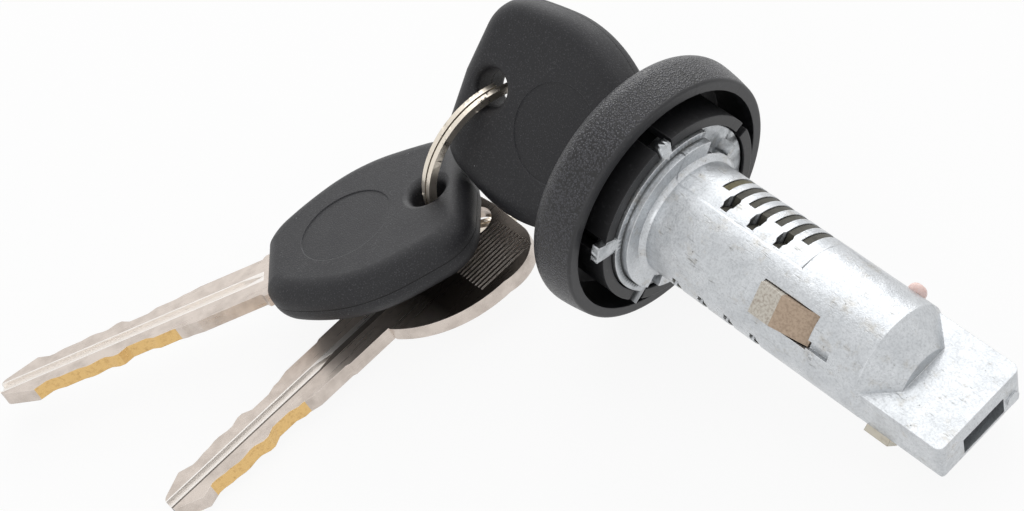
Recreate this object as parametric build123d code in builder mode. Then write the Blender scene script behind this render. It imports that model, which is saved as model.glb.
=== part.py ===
"""Ignition lock cylinder with its round bezel, three keys and a split ring.

Millimetres, +Z up. The origin is on the lock's axis at the rear face of the
barrel's flange. The lock lies on a table, resting on its bezel's rim and on
the barrel's belly. One key is in the lock. A split ring through that key's
head carries a second key and an all-metal spare key.

The lock is drawn in its own frame, with X along its axis towards the tail and
Z square to the tail's flat. The key frame is that frame turned about X so
that Y runs across the blade and Z is square to its face.
"""

import math
import os

from build123d import *

os.makedirs("parts", exist_ok=True)

quarter_turn = 90

# Key in the lock: its head stops short of the flange, its cuts and its tip lie inside the barrel
head_end = -6.4
head_length = 33.6
head_to_flange = 8.4
blade_beyond_head = 46.4
key_1_hole_x = -(head_end + head_length + head_to_flange)
key_length = head_end + head_length + blade_beyond_head
blade_reach = key_1_hole_x + key_length
cut_codes = (1, 2, 2, 4, 4, 1, 3, 2, 3, 3, 4)
cut_spacing = 2.33
cut_to_tip = 8.75
cut_first = key_length - cut_to_tip - cut_spacing * (len(cut_codes) - 1)
blade_half_width = 4.2
blade_thickness = 2.2
key_clearance = 0.2
key_edge_clearance = 0.32
keyway_half_width = blade_thickness / 2 + key_clearance
keyway_half_height = blade_half_width + key_edge_clearance

# Barrel, along X from the rear face of its flange
barrel_radius = 8.7
journal_front = -4.7
nose_front = -6.9
nose_step = 0.5
nose_radius = barrel_radius - nose_step
cone_before_tip = 0.7
cone_start = blade_reach - cone_before_tip
cone_length = 4.5
cone_end = cone_start + cone_length
cone_end_radius = 5.0
tail_length = 9.2
tail_end = cone_end + tail_length
tail_top = 2.8
tail_bottom = -4.3
tail_side_step = 0.9
tail_half_width = barrel_radius - tail_side_step
tail_corner = 1.0
belly_run = 6.3
belly_end = cone_start + belly_run
belly_rest_run = 0.7
belly_rest = belly_end + belly_rest_run
belly_curve = 3.6
end_slot_width = 7.8
end_slot_height = 3.4
end_slot_depth = 6.0
end_slot_side = 0.4
end_slot_drop = 1.9
end_boss_radius = 1.1
end_boss_height = 0.25
end_boss_place = (5.9, -2.3)

# Flange that turns over the collar, angles from the tail's flat towards +Y
flange_width = 2.9
flange_radius = barrel_radius + flange_width
flange_thickness = 1.9
flange_from = -127
flange_to = 35
stop_block_from = -160
stop_block_to = -140

# Keyway, wafers and their springs
keyway_turn = 45
keyway_room = 0.3
keyway_end = blade_reach + keyway_room
ward_half_width = 0.5
ward_height = 0.5
ward_start = -0.8
wafer_count = 7
wafer_first = key_1_hole_x + cut_first
wafer_thickness = 1.0
wafer_clearance = 0.15
wafer_flush = 0.15
slot_clearance = 0.12
well_outer_depth = 2.45
well_outer = barrel_radius - well_outer_depth
well_floor_depth = 5.8
well_floor = barrel_radius - well_floor_depth
well_lobe_from = 1.95
well_lobe_to = 0.85
well_lobe_half_length = 0.86
well_end_half_length = 0.57
well_taper = 0.35
wafer_side_room = 2.6
wafer_half_width = well_outer - wafer_side_room
wafer_tab_thickness = 1.0
wafer_spring_room = 2.2
wafer_spring_radius = 0.6
wafer_spring_wire = 0.24
wafer_spring_turns = 3

# Retaining catch in its window, on the side of the blade's face
catch_before_tip = 9.5
catch_rear = blade_reach - catch_before_tip
catch_length = 9.0
catch_front = catch_rear - catch_length
catch_crest_length = 3.5
catch_crest_end = catch_front + catch_crest_length
catch_half_width = 2.3
catch_proud = 0.75
catch_ramp_drop = 1.9
catch_clearance = 0.2
catch_travel = 1.0
catch_step_run = 2.0
catch_step = catch_front + catch_step_run
catch_shallow_depth = 2.7
catch_shallow = barrel_radius - catch_shallow_depth
catch_deep_depth = 4.0
catch_deep = barrel_radius - catch_deep_depth
catch_spring_run = 1.4
catch_spring_x = catch_rear - catch_spring_run
catch_spring_radius = 1.05
catch_spring_wire = 0.35
catch_spring_turns = 5
catch_spring_wall = 0.4
catch_spring_floor = keyway_half_width + catch_spring_wall
catch_spring_seat_depth = 2.5
catch_spring_seat = barrel_radius - catch_spring_seat_depth
catch_hole_radius = 1.5
notch_length = 3.7
notch_width = 1.2
notch_side = -1.6
notch_depth = 1.3
dimple_run = 1.3
dimple_x = catch_rear + dimple_run
dimple_angle = -66
dimple_radius = 0.5
dimple_height = 0.12

# Sprung plunger near the barrel's end, and the pad under the tail's root
plunger_before_tip = 4.4
plunger_x = blade_reach - plunger_before_tip
plunger_angle = 72
plunger_radius = 1.35
plunger_round = 1.08
plunger_proud = 1.25
plunger_bore_depth = 3.9
plunger_bore_floor = barrel_radius - plunger_bore_depth
plunger_length = 3.6
plunger_clearance = 0.08
plunger_spring_wire = 0.24
plunger_spring_turns = 2
pad_run = 3.0
pad_x = cone_start + pad_run
pad_angle = -128
pad_length = 3.9
pad_width = 2.8
pad_proud = 0.9
pad_depth = 2.3
pad_floor = barrel_radius - pad_depth
pad_travel = 1.0
pad_clearance = 0.05

# Bezel
rim_back = -3.6
rim_radius = 18.8
rim_wall = 1.6
rim_inner = rim_radius - rim_wall
belly_x = -8.2
belly_swell = 0.7
belly_radius = rim_radius + belly_swell
shoulder_x = -11.3
shoulder_drop = 1.2
shoulder_radius = rim_radius - shoulder_drop
bezel_front = -13.2
front_roll = 5.2
front_flat_radius = rim_radius - front_roll
dish_rim = 0.9
dish_radius_front = front_flat_radius - dish_rim
cap_overhang = 1.5
cap_disc_radius = nose_radius + cap_overhang
cap_recess_clearance = 0.4
cap_recess_radius = cap_disc_radius + cap_recess_clearance
cap_recess_front = -8.3
cap_recess_floor = -6.5
recess_floor = -9.8
floor_draft = 0.6
floor_radius = rim_inner - floor_draft
hub_width = 3.7
hub_radius = barrel_radius + hub_width
hub_back = -4.5
bezel_bore_clearance = 0.25
rest_edge = 0.4
clip_gap = 0.6
clip_inner = hub_radius + clip_gap
clip_wall = 1.5
clip_outer = clip_inner + clip_wall
clip_back = -1.5
clip_arcs = ((-62, -5), (6, 71), (79, 128), (-126, -73), (143, 222))

# Collar held in the bezel's clip arcs
collar_front = -4.4
collar_back = -2.0
collar_clip_clearance = 0.25
collar_outer = clip_inner - collar_clip_clearance
collar_bore_clearance = 0.08
lip_clearance = 0.2
lip_inner = flange_radius + lip_clearance
lip_back = -1.0
lip_from = -131
lip_to = 33
stop_bore_clearance = 0.8
stop_inner = barrel_radius + stop_bore_clearance
stop_outer = flange_radius - lip_clearance
stop_back = -0.25
stops = ((66, 72), (115, 121))
hammer_neck = (-70, -64)
hammer_head = (-73, -56)
hammer_clearance = 0.3
hammer_inner = clip_outer + hammer_clearance
hammer_height = 1.3
hammer_outer = hammer_inner + hammer_height
tab_back = -1.2
tab_front = -2.4
upper_tab = (-3, 4)
upper_tab_reach = 0.1
upper_tab_outer = clip_outer + upper_tab_reach
pointed_tab = (-136, -129)
pointed_tab_reach = 0.5
pointed_tab_outer = clip_outer + pointed_tab_reach

# Face cap, shutter and its pin
cap_front = -7.45
cap_wall = 0.4
cap_skirt_back = -5.0
cap_clearance = 0.05
cap_slot_margin = 0.3
pin_x = -6.0
pin_height = 2.35
pin_radius = 0.5
pin_half_length = 5.6
shutter_length = 4.0
shutter_plate = 0.4
shutter_lift = 1.4
shutter_half_width = 4.5
knuckle_radius = 0.92
knuckle_gap = 1.4
knuckle_clearance = 0.05
shutter_pocket_end = -1.3
shutter_pocket_top = 3.5
shutter_spring_radius = 0.75
shutter_spring_wire = 0.18
shutter_spring_turns = 2.5

# Keys, drawn with X from the ring's hole to the tip, Y across, Z square to the face
cut_flat = 0.45
cut_step = 0.3
shank_start = 24.0
shank_half_width = 4.9
shank_end = 28.0
blade_start = 28.6
tip_rise = 2.2
tip_half_width = 3.9
tip_nose = 1.5
tip_round = 1.35
groove_start = 28.2
groove_full = 31.8
groove_half_width = 0.85
groove_depth = 0.65
tang_start = 5.2
tang_half_width = 5.0
tang_clearance = 0.05
head_thickness = 7.4
head_end_curve = 0.5
head_end_half_width = 7.5
head_corner = 5.9
head_corner_half_width = 13.9
head_shoulder = 11.9
head_shoulder_half_width = 15.1
head_flank = 23.5
head_flank_half_width = 13.6
head_foot = 3.0
head_foot_half_width = 9.5
head_heel_half_width = 5.4
head_edge = 3.2
head_hole_radius = 2.75
head_hole_edge = 1.25
dish_radius = 7.3
dish_place = 13.2
dish_depth = 0.15
seam_gap = 0.04

# All-metal spare key
spare_thickness = 2.3
spare_length = 60.3
spare_cut_codes = (2, 4, 4, 1, 3, 2, 3, 4)
spare_cut_to_tip = 6.89
spare_cut_first = spare_length - spare_cut_to_tip - cut_spacing * (len(spare_cut_codes) - 1)
spare_shank_half_width = 4.5
bow_end = -4.2
bow_half_width = 14.4
bow_end_curve = 0.5
bow_end_half_width = 8.5
bow_widest = 9.0
bow_foot = 20.4
bow_hole_radius = 3.0
grip_from = 3.6
grip_to = 12.3
grip_count = 12
grip_end = -2.3
grip_foot = 7.6
grip_groove = 0.34
grip_depth = 0.2

# Split ring
ring_radius = 12.54
ring_wire_width = 0.8
ring_wire_depth = 1.3
ring_turn_gap = 0.3
ring_step_angle = 24

# Where the lock, the keys and the ring lie
rest_rise = rim_radius - rest_edge - barrel_radius
rest_run = belly_rest - rim_back + rest_edge
rest_tilt = math.atan2(rest_rise, rest_run) + math.asin(rest_edge / math.hypot(rest_rise, rest_run))
lock_tilt = math.degrees(rest_tilt)
key_1_hole = Vector(key_1_hole_x * math.cos(rest_tilt), 0, -key_1_hole_x * math.sin(rest_tilt))
key_2_from_key_1 = (-3.795, -16.35, -12.223)
key_2_hole = key_1_hole + Vector(key_2_from_key_1)
key_2_heading = -125.4
key_2_pitch = 6.1
key_2_roll = 9.1
spare_from_key_1 = (-3.275, -12.59, -19.943)
spare_hole = key_1_hole + Vector(spare_from_key_1)
spare_heading = -93.5
spare_pitch = 3.3
spare_roll = 5.3
ring_from_key_1 = (-1.745, -4.65, -11.043)
ring_centre = key_1_hole + Vector(ring_from_key_1)
ring_lean = (0.985, -0.125, -0.121)

lock_pose = Rot(Y=lock_tilt)
keyway_pose = lock_pose * Rot(X=keyway_turn)
key_1_pose = keyway_pose * Pos(key_1_hole_x, 0, 0)
key_2_pose = (
    Pos(key_2_hole)
    * Rot(Z=key_2_heading)
    * Rot(Y=key_2_pitch)
    * Rot(X=key_2_roll)
)
spare_pose = (
    Pos(spare_hole)
    * Rot(Z=spare_heading)
    * Rot(Y=spare_pitch)
    * Rot(X=spare_roll)
)
ring_plane = Plane(origin=ring_centre, x_dir=(0, 0, 1), z_dir=ring_lean)

# Shared sizes of the fits
slot_half_length = wafer_thickness / 2 + slot_clearance
slot_half_width = wafer_half_width + wafer_clearance
wafer_radius = barrel_radius - wafer_flush
wafer_window_height = 2 * (blade_half_width + 2 * key_clearance)
wafer_window_width = blade_thickness + 2 * key_clearance
wafer_places = [wafer_first + cut_spacing * number for number in range(wafer_count)]
wafer_sides = [1 if number % 2 else -1 for number in range(wafer_count)]
beyond = 2 * barrel_radius
well_centre = well_outer - (well_lobe_from + well_lobe_to) / 2
wafer_tab_foot = well_floor + wafer_spring_room
wafer_tab_width = wafer_side_room - wafer_clearance


def across(x, turn=0):
    """Plane square to the lock's axis at x, its own X turned from +Y towards +Z."""
    angle = math.radians(turn)
    return Plane(origin=(x, 0, 0), x_dir=(0, math.cos(angle), math.sin(angle)), z_dir=(1, 0, 0))


def radial(x, angle, height):
    """Plane facing outwards at a height above the axis, angle from +Z towards +Y."""
    turned = math.radians(angle)
    outwards = (0, math.sin(turned), math.cos(turned))
    origin = (x, height * outwards[1], height * outwards[2])
    return Plane(origin=origin, x_dir=(1, 0, 0), z_dir=outwards)


def sector(inner, outer, first, last):
    """Face of a ring's sector between two angles measured from +Z towards +Y."""
    with BuildSketch() as face:
        with BuildLine():
            inside = CenterArc((0, 0), inner, quarter_turn - last, last - first)
            outside = CenterArc((0, 0), outer, quarter_turn - last, last - first)
            Line(inside @ 0, outside @ 0)
            Line(inside @ 1, outside @ 1)
        make_face()
    return face.sketch


def coil(radius, wire, turns, length):
    """Round wire spring standing on XY, its own wire inside the length."""
    with BuildPart() as spring:
        with BuildLine():
            path = Helix(pitch=(length - wire) / turns, height=length - wire, radius=radius)
        with BuildSketch(Plane(origin=path @ 0, z_dir=path % 0)):
            RegularPolygon(wire / 2, 6)
        sweep(is_frenet=True)
    return spring.part.moved(Pos(0, 0, wire / 2))


def write(piece, name, pose):
    """Label a finished piece, put it in its place and write its file."""
    piece.label = name
    piece.locate(pose * piece.location)
    export_step(piece, f"parts/{name}.step")


def well_outline(side):
    """Outline of a spring well, from inside its slot to its narrow outer end."""
    stations = (
        (slot_half_length, keyway_half_width),
        (slot_half_length, well_outer - well_lobe_from - well_taper),
        (well_lobe_half_length, well_outer - well_lobe_from),
        (well_lobe_half_length, well_outer - well_lobe_to),
        (well_end_half_length, well_outer - well_lobe_to + well_taper),
        (well_end_half_length, well_outer),
    )
    right = [(length, side * height) for length, height in stations]
    return right + [(-length, height) for length, height in reversed(right)]


# Barrel: nose, journal, long body, cone, tail with its flat, and the flange
with BuildPart() as barrel:
    with BuildSketch(across(nose_front)):
        Circle(nose_radius)
    extrude(amount=journal_front - nose_front)
    with BuildSketch(across(journal_front)):
        Circle(barrel_radius)
    extrude(amount=cone_start - journal_front)
    with BuildSketch(Plane.XZ):
        with BuildLine():
            Polyline(
                (cone_start, 0),
                (cone_start, barrel_radius),
                (cone_end, cone_end_radius),
                (cone_end, 0),
                close=True,
            )
        make_face()
    revolve(axis=Axis.X)
    with BuildSketch(across(cone_start)):
        Circle(barrel_radius)
        Rectangle(2 * tail_half_width, 2 * beyond, mode=Mode.INTERSECT)
        with Locations((0, tail_top)):
            Rectangle(beyond * 2, beyond, align=(Align.CENTER, Align.MIN), mode=Mode.SUBTRACT)
    extrude(amount=tail_end - cone_start)
    with BuildSketch(Plane.XZ):
        with BuildLine():
            swell = Spline(
                (belly_end, -barrel_radius - rest_edge),
                (belly_end + belly_curve, tail_bottom),
                tangents=((1, 0), (1, 0)),
            )
            sole = Line(swell @ 1, (tail_end - rest_edge, tail_bottom))
            toe = TangentArc(sole @ 1, (tail_end, tail_bottom + rest_edge), tangent=(1, 0))
            Polyline(
                toe @ 1,
                (tail_end + belly_curve, tail_bottom + rest_edge),
                (tail_end + belly_curve, -barrel_radius - rest_edge),
                swell @ 0,
            )
        make_face()
    extrude(amount=beyond, both=True, mode=Mode.SUBTRACT)
    corner_side = tail_half_width - tail_corner
    corner_front = tail_end - tail_corner
    with BuildSketch():
        for side in (1, -1):
            with Locations((corner_front + tail_corner / 2, side * (corner_side + tail_corner / 2))):
                Rectangle(tail_corner, tail_corner)
            with Locations((corner_front, side * corner_side)):
                Circle(tail_corner, mode=Mode.SUBTRACT)
    extrude(amount=beyond, both=True, mode=Mode.SUBTRACT)
    with BuildSketch(across(tail_end)):
        with Locations((end_slot_side, -end_slot_drop)):
            Rectangle(end_slot_width, end_slot_height)
    extrude(amount=-end_slot_depth, mode=Mode.SUBTRACT)
    with BuildSketch(across(tail_end - end_boss_height)):
        with Locations(end_boss_place):
            Circle(end_boss_radius)
    extrude(amount=2 * end_boss_height)
    with BuildSketch(across(-flange_thickness)):
        add(sector(nose_radius, flange_radius, flange_from, flange_to))
        add(sector(nose_radius, flange_radius, stop_block_from, stop_block_to))
    extrude(amount=flange_thickness)
    # Keyway with a ward rib down each face
    with BuildSketch(across(nose_front, keyway_turn)):
        Rectangle(2 * keyway_half_height, 2 * keyway_half_width)
    extrude(amount=keyway_end - nose_front, mode=Mode.SUBTRACT)
    with BuildSketch(across(ward_start, keyway_turn)):
        with Locations((0, keyway_half_width), (0, -keyway_half_width)):
            Rectangle(2 * ward_half_width, 2 * ward_height)
    extrude(amount=keyway_end - ward_start)
    # Wafer slots right through, each with a spring well on its long side
    for place, side in zip(wafer_places, wafer_sides):
        with BuildSketch(across(place - slot_half_length, keyway_turn)):
            Rectangle(2 * beyond, 2 * slot_half_width)
        extrude(amount=2 * slot_half_length, mode=Mode.SUBTRACT)
        with BuildSketch(radial(place, keyway_turn + quarter_turn * (1 - side), well_floor)):
            with BuildLine():
                Polyline(*well_outline(-side), close=True)
            make_face()
        extrude(amount=barrel_radius, mode=Mode.SUBTRACT)
    # Window of the retaining catch, its spring hole, notch and ring mark
    for start, floor in (
        (catch_front, catch_shallow - catch_travel - 2 * catch_clearance),
        (catch_step - catch_clearance, catch_deep - catch_travel - 2 * catch_clearance),
    ):
        with BuildSketch(radial(0, -keyway_turn, floor)):
            with Locations(((start + catch_rear) / 2, 0)):
                Rectangle(catch_rear - start + 2 * catch_clearance, 2 * (catch_half_width + catch_clearance))
        extrude(amount=barrel_radius, mode=Mode.SUBTRACT)
    with BuildSketch(radial(catch_spring_x, -keyway_turn, catch_spring_floor)):
        Circle(catch_hole_radius)
    extrude(amount=barrel_radius, mode=Mode.SUBTRACT)
    with BuildSketch(radial(catch_rear + notch_length / 2, -keyway_turn, barrel_radius - notch_depth)):
        with Locations((0, notch_side)):
            Rectangle(notch_length, notch_width)
    extrude(amount=2 * notch_depth, mode=Mode.SUBTRACT)
    with BuildSketch(radial(dimple_x, dimple_angle, barrel_radius - dimple_height)):
        Circle(dimple_radius)
        Circle(dimple_radius / 2, mode=Mode.SUBTRACT)
    extrude(amount=2 * dimple_height)
    # Bore of the plunger and pocket of the pad
    with BuildSketch(radial(plunger_x, plunger_angle, plunger_bore_floor)):
        Circle(plunger_radius + plunger_clearance)
    extrude(amount=barrel_radius, mode=Mode.SUBTRACT)
    with BuildSketch(radial(pad_x, pad_angle, pad_floor)):
        Rectangle(pad_length + 2 * pad_clearance, pad_width + 2 * pad_clearance)
    extrude(amount=barrel_radius, mode=Mode.SUBTRACT)
    # Shutter's pocket and the groove that holds its pin, open at the front
    with BuildSketch(across(nose_front, keyway_turn)):
        with Locations((0, (keyway_half_width + shutter_pocket_top) / 2)):
            Rectangle(
                2 * (shutter_half_width + key_clearance),
                shutter_pocket_top - keyway_half_width + 2 * key_clearance,
            )
    extrude(amount=shutter_pocket_end - nose_front, mode=Mode.SUBTRACT)
    with BuildSketch(across(nose_front, keyway_turn)):
        with Locations((0, pin_height)):
            Rectangle(2 * pin_half_length, 2 * pin_radius)
    extrude(amount=pin_x - nose_front + pin_radius, mode=Mode.SUBTRACT)
write(barrel.part, "barrel", lock_pose)


# Bezel: a turned cup with a hub for the collar and five clip arcs
with BuildPart() as bezel:
    with BuildSketch(Plane.XZ):
        with BuildLine():
            side = ThreePointArc(
                (rim_back, rim_radius),
                ((rim_back + belly_x) / 2, (rim_radius + belly_radius) / 2 + rest_edge / 4),
                (belly_x, belly_radius),
            )
            bulge = TangentArc(side @ 1, (shoulder_x, shoulder_radius), tangent=side % 1)
            front = TangentArc(bulge @ 1, (bezel_front, front_flat_radius), tangent=bulge % 1)
            Polyline(
                front @ 1,
                (bezel_front, dish_radius_front),
                (cap_recess_front, cap_recess_radius),
                (cap_recess_floor, cap_recess_radius),
                (cap_recess_floor, barrel_radius + bezel_bore_clearance),
                (hub_back, barrel_radius + bezel_bore_clearance),
                (hub_back, hub_radius),
                (recess_floor, hub_radius),
                (recess_floor, floor_radius),
                (rim_back, rim_inner),
                (rim_back, rim_radius),
            )
        make_face()
    revolve(axis=Axis.X)
    for first, last in clip_arcs:
        with BuildSketch(across(recess_floor)):
            add(sector(clip_inner, clip_outer, first, last))
        extrude(amount=clip_back - recess_floor)
    rim_circles = bezel.edges().filter_by(GeomType.CIRCLE).filter_by_position(
        Axis.X, rim_back - rest_edge, rim_back + rest_edge
    )
    fillet(rim_circles.sort_by(SortBy.RADIUS)[-1], rest_edge)
write(bezel.part, "bezel", lock_pose)


# Collar: a flat ring with an outer lip, two stops and three tabs
with BuildPart() as collar:
    with BuildSketch(across(collar_front)):
        Circle(collar_outer)
        Circle(barrel_radius + collar_bore_clearance, mode=Mode.SUBTRACT)
    extrude(amount=collar_back - collar_front)
    with BuildSketch(across(collar_back)):
        add(sector(lip_inner, collar_outer, lip_from, lip_to))
    extrude(amount=lip_back - collar_back)
    for first, last in stops:
        with BuildSketch(across(collar_back)):
            add(sector(stop_inner, stop_outer, first, last))
        extrude(amount=stop_back - collar_back)
    with BuildSketch(across(tab_front)):
        add(sector(lip_inner, hammer_outer, *hammer_neck))
        add(sector(hammer_inner, hammer_outer, *hammer_head))
        add(sector(lip_inner, upper_tab_outer, *upper_tab))
    extrude(amount=tab_back - tab_front)
    with BuildSketch(across(tab_front)):
        with BuildLine():
            tab_from = quarter_turn - pointed_tab[1]
            foot = CenterArc((0, 0), lip_inner, tab_from, pointed_tab[1] - pointed_tab[0])
            point_angle = math.radians(quarter_turn - sum(pointed_tab) / 2)
            point = (pointed_tab_outer * math.cos(point_angle), pointed_tab_outer * math.sin(point_angle))
            Line(foot @ 0, point)
            Line(foot @ 1, point)
        make_face()
    extrude(amount=tab_back - tab_front)
write(collar.part, "collar_ring", lock_pose)


# Face cap pressed over the barrel's nose, with the key's slot
with BuildPart() as cap:
    with BuildSketch(across(cap_front)):
        Circle(cap_disc_radius)
    extrude(amount=nose_front - cap_clearance - cap_front)
    with BuildSketch(across(nose_front - cap_clearance)):
        Circle(nose_radius + cap_clearance + cap_wall)
        Circle(nose_radius + cap_clearance, mode=Mode.SUBTRACT)
    extrude(amount=cap_skirt_back - nose_front)
    with BuildSketch(across(cap_front, keyway_turn)):
        Rectangle(
            2 * (keyway_half_height + cap_slot_margin),
            2 * (keyway_half_width + cap_slot_margin),
        )
    extrude(amount=nose_front - cap_front, mode=Mode.SUBTRACT)
    fillet(cap.edges().filter_by(GeomType.CIRCLE).group_by(Axis.X)[0], cap_wall / 2)
write(cap.part, "face_cap", lock_pose)


# Shutter behind the cap, held open by the blade, on its pin with a spring
with BuildPart() as shutter:
    for side in (1, -1):
        knuckle_middle = side * (knuckle_gap + shutter_half_width) / 2
        with BuildSketch(Plane.XZ.offset(-knuckle_middle)):
            with Locations((pin_x, pin_height)):
                Circle(knuckle_radius)
        extrude(amount=(shutter_half_width - knuckle_gap) / 2, both=True)
    with BuildSketch(Plane.XY.offset(shutter_lift)):
        with Locations((pin_x + shutter_length / 2, 0)):
            Rectangle(shutter_length, 2 * shutter_half_width)
    extrude(amount=shutter_plate)
    with BuildSketch(Plane.XZ):
        with Locations((pin_x, pin_height)):
            Circle(pin_radius + knuckle_clearance)
    extrude(amount=beyond, both=True, mode=Mode.SUBTRACT)
    with BuildSketch(Plane.XZ):
        with Locations((pin_x, pin_height)):
            Rectangle(2 * knuckle_radius + cap_wall, 2 * knuckle_radius)
    extrude(amount=knuckle_gap, both=True, mode=Mode.SUBTRACT)
write(shutter.part, "keyway_shutter", keyway_pose)

with BuildPart() as shutter_pin:
    with BuildSketch(Plane.XZ):
        with Locations((pin_x, pin_height)):
            Circle(pin_radius)
    extrude(amount=pin_half_length - cap_clearance, both=True)
write(shutter_pin.part, "shutter_pin", keyway_pose)

shutter_spring_length = 2 * knuckle_gap - 4 * knuckle_clearance
shutter_coil = coil(shutter_spring_radius, shutter_spring_wire, shutter_spring_turns, shutter_spring_length)
shutter_spring = shutter_coil.moved(
    Pos(pin_x, shutter_spring_length / 2, pin_height) * Rot(X=90)
)
write(shutter_spring, "shutter_spring", keyway_pose)


# Wafers, each with a window for the blade and a tab on its spring
for number, (place, side) in enumerate(zip(wafer_places, wafer_sides), start=1):
    with BuildPart() as wafer:
        with BuildSketch(across(place - wafer_thickness / 2)):
            Circle(wafer_radius)
            Rectangle(2 * beyond, 2 * wafer_half_width, mode=Mode.INTERSECT)
            tab_middle = side * (wafer_tab_foot + wafer_tab_thickness / 2)
            with Locations((tab_middle, wafer_half_width + wafer_tab_width / 2)):
                Rectangle(wafer_tab_thickness, wafer_tab_width)
            Rectangle(wafer_window_height, wafer_window_width, mode=Mode.SUBTRACT)
        extrude(amount=wafer_thickness)
    write(wafer.part, f"wafer_{number}", keyway_pose)

wafer_spring_length = wafer_tab_foot - well_floor - wafer_clearance
wafer_coil = coil(wafer_spring_radius, wafer_spring_wire, wafer_spring_turns, wafer_spring_length)
wafer_spring_pieces = []
for place, side in zip(wafer_places, wafer_sides):
    stand = Pos(place, side * (well_floor + wafer_clearance / 2), well_centre) * Rot(X=-90 * side)
    wafer_spring_pieces.append(wafer_coil.moved(stand))
write(Compound(children=wafer_spring_pieces), "wafer_springs", keyway_pose)


# Retaining catch with its crest, ramp and spring seat
with BuildPart() as catch:
    with BuildSketch(Plane.XZ):
        with BuildLine():
            Polyline(
                (catch_front, catch_shallow),
                (catch_front, barrel_radius + catch_proud),
                (catch_crest_end, barrel_radius + catch_proud),
                (catch_rear, barrel_radius + catch_proud - catch_ramp_drop),
                (catch_rear, catch_deep),
                (catch_step, catch_deep),
                (catch_step, catch_shallow),
                close=True,
            )
        make_face()
    extrude(amount=catch_half_width, both=True)
    with BuildSketch(Plane.XY.offset(catch_deep)):
        with Locations((catch_spring_x, 0)):
            Circle(catch_spring_radius + catch_spring_wire)
    extrude(amount=catch_spring_seat - catch_deep, mode=Mode.SUBTRACT)
write(catch.part, "retaining_catch", keyway_pose)

catch_spring_length = catch_spring_seat - catch_spring_floor - catch_clearance
catch_coil = coil(catch_spring_radius, catch_spring_wire, catch_spring_turns, catch_spring_length)
catch_spring = catch_coil.moved(Pos(catch_spring_x, 0, catch_spring_floor + catch_clearance / 2))
write(catch_spring, "catch_spring", keyway_pose)


# Plunger with a domed head, its spring, and the pad under the tail's root
with BuildPart() as plunger:
    plunger_top = barrel_radius + plunger_proud
    with BuildSketch(radial(plunger_x, plunger_angle, plunger_top - plunger_length)):
        Circle(plunger_radius)
    extrude(amount=plunger_length)
    fillet(plunger.faces().sort_by(Axis.Y)[-1].edges(), plunger_round)
write(plunger.part, "warning_plunger", lock_pose)

plunger_foot = barrel_radius + plunger_proud - plunger_length
plunger_spring_length = plunger_foot - plunger_bore_floor - 2 * plunger_clearance
plunger_coil = coil(
    plunger_radius - plunger_spring_wire,
    plunger_spring_wire,
    plunger_spring_turns,
    plunger_spring_length,
)
plunger_seat = radial(plunger_x, plunger_angle, plunger_bore_floor + plunger_clearance)
write(plunger_coil.moved(plunger_seat.location), "plunger_spring", lock_pose)

with BuildPart() as pad:
    pad_foot = pad_floor + pad_clearance + pad_travel
    with BuildSketch(radial(pad_x, pad_angle, pad_foot)):
        Rectangle(pad_length, pad_width)
    extrude(amount=barrel_radius + pad_proud - pad_foot)
write(pad.part, "tail_pad", lock_pose)


def blade_outline(root, first_cut, codes, length):
    """Outline of a key's blade from the points of its root, cut alike on both edges."""
    upper = root + [(blade_start, blade_half_width)]
    upper.append((first_cut - cut_spacing, blade_half_width))
    for number, code in enumerate(codes):
        place = first_cut + cut_spacing * number
        height = blade_half_width - cut_step * code
        upper.append((place - cut_flat, height))
        upper.append((place + cut_flat, height))
    last_cut = first_cut + cut_spacing * (len(codes) - 1)
    upper.append((last_cut + cut_flat + tip_rise, tip_half_width))
    upper.append((length, tip_nose))
    lower = [(x, -y) for x, y in reversed(upper)]
    return upper + lower


def grooves(thickness, length):
    """The groove down each face, as a solid to cut away."""
    floor = thickness / 2 - groove_depth
    with BuildPart() as cutter:
        for height in (floor, -thickness / 2):
            with BuildSketch(Plane.XY.offset(height)):
                with BuildLine():
                    Polyline(
                        (groove_start, 0),
                        (groove_full, groove_half_width),
                        (length + tip_nose, groove_half_width),
                        (length + tip_nose, -groove_half_width),
                        (groove_full, -groove_half_width),
                        close=True,
                    )
                make_face()
            extrude(amount=groove_depth)
    return cutter.part


def moulded_key_blade():
    """Blade with the tang that the head's two shells hold."""
    root = [
        (tang_start, tang_half_width),
        (shank_start, tang_half_width),
        (shank_start, shank_half_width),
        (shank_end, shank_half_width),
    ]
    with BuildPart() as blade:
        with BuildSketch():
            with BuildLine():
                Polyline(*blade_outline(root, cut_first, cut_codes, key_length), close=True)
            make_face()
        extrude(amount=blade_thickness / 2, both=True)
        nose = blade.edges().filter_by(Axis.Z).sort_by(Axis.X)[-2:]
        fillet(nose, tip_round)
        add(grooves(blade_thickness, key_length), mode=Mode.SUBTRACT)
    return blade.part


def head_outline():
    """Face of the moulded head: a flat end, round corners and drawn-in sides."""
    with BuildSketch() as face:
        with BuildLine():
            end = Line((head_end, 0), (head_end + head_end_curve, head_end_half_width))
            corner_end = (head_end + head_corner, head_corner_half_width)
            corner = TangentArc(end @ 1, corner_end, tangent=end % 1)
            shoulder_end = (head_end + head_shoulder, head_shoulder_half_width)
            shoulder = TangentArc(corner @ 1, shoulder_end, tangent=corner % 1)
            drawn_in = (head_end + head_flank, head_flank_half_width)
            flank = TangentArc(shoulder @ 1, drawn_in, tangent=shoulder % 1)
            foot_end = (head_end + head_length - head_foot, head_foot_half_width)
            foot = TangentArc(flank @ 1, foot_end, tangent=flank % 1)
            heel_end = (head_end + head_length, head_heel_half_width)
            heel = TangentArc(foot @ 1, heel_end, tangent=foot % 1)
            Line(heel @ 1, (head_end + head_length, 0))
            mirror(about=Plane.XZ)
        make_face()
    return face.sketch


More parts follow.
